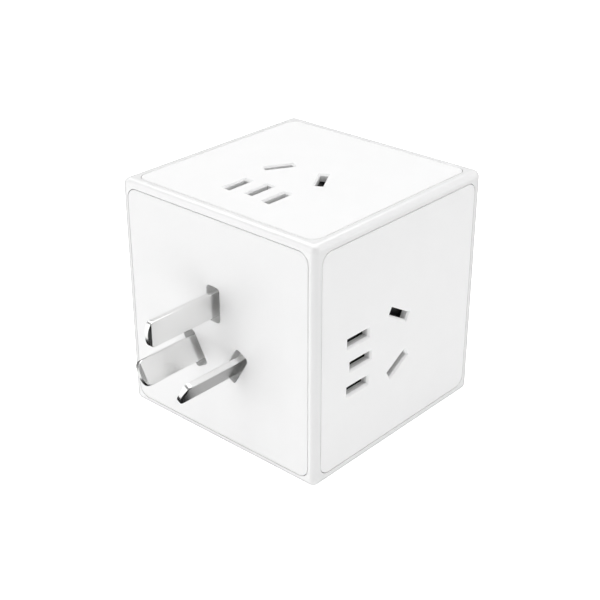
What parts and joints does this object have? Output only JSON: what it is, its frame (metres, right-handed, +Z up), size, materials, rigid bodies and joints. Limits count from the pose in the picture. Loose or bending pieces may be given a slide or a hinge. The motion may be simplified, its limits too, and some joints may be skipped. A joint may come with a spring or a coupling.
{
  "type": "cube travel adapter",
  "caption": "White cube mains adapter with a flat-pin plug on the back, shuttered five-slot outlets on the sides and top, and USB charging ports on the front.",
  "frame": {"origin": "centre of the plug's pin circle on the rear face, which meets the wall socket", "axes": "+Y out of the rear face along the pins, towards the wall; +Z up, with the earth pin on top; the front face looks along -Y"},
  "size_m": [0.062, 0.083, 0.062],
  "materials": {
    "base_white": "white flame-retardant moulding",
    "board_green": "green solder mask",
    "capacitor_sleeve": "dark blue sleeve",
    "carrier_grey": "dark grey heat-resistant moulding",
    "chip_black": "epoxy package",
    "clear_plastic": "clear light pipe",
    "contact_brass": "bright phosphor bronze strip",
    "ferrite": "ferrite core",
    "frame_white": "glossy white moulded polycarbonate frame",
    "panel_white": "fine matt white moulded panel",
    "pin_metal": "nickel-plated brass, brushed along the blade",
    "port_black": "black insulator",
    "port_plastic": "white insulator",
    "port_steel": "nickel-plated steel shell",
    "screw_steel": "zinc-plated steel",
    "shutter_black": "black acetal",
    "spring_steel": "stainless spring wire",
    "winding": "amber tape over enamelled wire"
  },
  "bodies": {
    "root": {"bottom_panel": "panel_white", "capacitors": "capacitor_sleeve", "control_chips": "chip_black", "earth_busbar": "contact_brass", "earth_pin": "pin_metal", "front_panel": "panel_white", "housing": "frame_white", "indicator_led": "clear_plastic", "left_earth_contact": "contact_brass", "left_live_contact": "contact_brass", "left_neutral_contact": "contact_brass", "left_panel": "panel_white", "left_socket_base": "carrier_grey", "left_socket_screws": "screw_steel", "left_three_pin_spring": "spring_steel", "left_two_pin_spring": "spring_steel", "light_pipe": "clear_plastic", "live_busbar": "contact_brass", "live_pin": "pin_metal", "neutral_busbar": "contact_brass", "neutral_pin": "pin_metal", "rear_base": "base_white", "rear_base_screws": "screw_steel", "rear_panel": "panel_white", "right_earth_contact": "contact_brass", "right_live_contact": "contact_brass", "right_neutral_contact": "contact_brass", "right_panel": "panel_white", "right_socket_base": "carrier_grey", "right_socket_screws": "screw_steel", "right_three_pin_spring": "spring_steel", "right_two_pin_spring": "spring_steel", "top_earth_contact": "contact_brass", "top_live_contact": "contact_brass", "top_neutral_contact": "contact_brass", "top_panel": "panel_white", "top_socket_base": "carrier_grey", "top_socket_screws": "screw_steel", "top_three_pin_spring": "spring_steel", "top_two_pin_spring": "spring_steel", "transformer_core": "ferrite", "transformer_winding": "winding", "usb_a_contacts": "contact_brass", "usb_a_shells": "port_steel", "usb_a_tongues": "port_plastic", "usb_board": "board_green", "usb_board_screws": "screw_steel", "usb_c_shell": "port_steel", "usb_c_tongue": "port_black", "usb_supply_leads": "contact_brass"},
    "left_three_pin_shutter": {"left_three_pin_shutter": "shutter_black"},
    "left_two_pin_shutter": {"left_two_pin_shutter": "shutter_black"},
    "right_three_pin_shutter": {"right_three_pin_shutter": "shutter_black"},
    "right_two_pin_shutter": {"right_two_pin_shutter": "shutter_black"},
    "top_three_pin_shutter": {"top_three_pin_shutter": "shutter_black"},
    "top_two_pin_shutter": {"top_two_pin_shutter": "shutter_black"}
  },
  "joints": [
    {"name": "left_three_pin_shutter_slide", "type": "slide", "parent": "root", "child": "left_three_pin_shutter", "axis": [0, 0, 1], "range_m": [0, 0.004], "stiffness_N_per_m": 120, "springref_m": -0.002, "deforming": ["left_three_pin_spring"]},
    {"name": "left_two_pin_shutter_slide", "type": "slide", "parent": "root", "child": "left_two_pin_shutter", "axis": [0, 0, 1], "range_m": [0, 0.0034], "stiffness_N_per_m": 120, "springref_m": -0.002, "deforming": ["left_two_pin_spring"]},
    {"name": "top_three_pin_shutter_slide", "type": "slide", "parent": "root", "child": "top_three_pin_shutter", "axis": [1, 0, 0], "range_m": [0, 0.004], "stiffness_N_per_m": 120, "springref_m": -0.002, "deforming": ["top_three_pin_spring"]},
    {"name": "top_two_pin_shutter_slide", "type": "slide", "parent": "root", "child": "top_two_pin_shutter", "axis": [1, 0, 0], "range_m": [0, 0.0034], "stiffness_N_per_m": 120, "springref_m": -0.002, "deforming": ["top_two_pin_spring"]},
    {"name": "right_three_pin_shutter_slide", "type": "slide", "parent": "root", "child": "right_three_pin_shutter", "axis": [0, 0, -1], "range_m": [0, 0.004], "stiffness_N_per_m": 120, "springref_m": -0.002, "deforming": ["right_three_pin_spring"]},
    {"name": "right_two_pin_shutter_slide", "type": "slide", "parent": "root", "child": "right_two_pin_shutter", "axis": [0, 0, -1], "range_m": [0, 0.0034], "stiffness_N_per_m": 120, "springref_m": -0.002, "deforming": ["right_two_pin_spring"]}
  ]
}
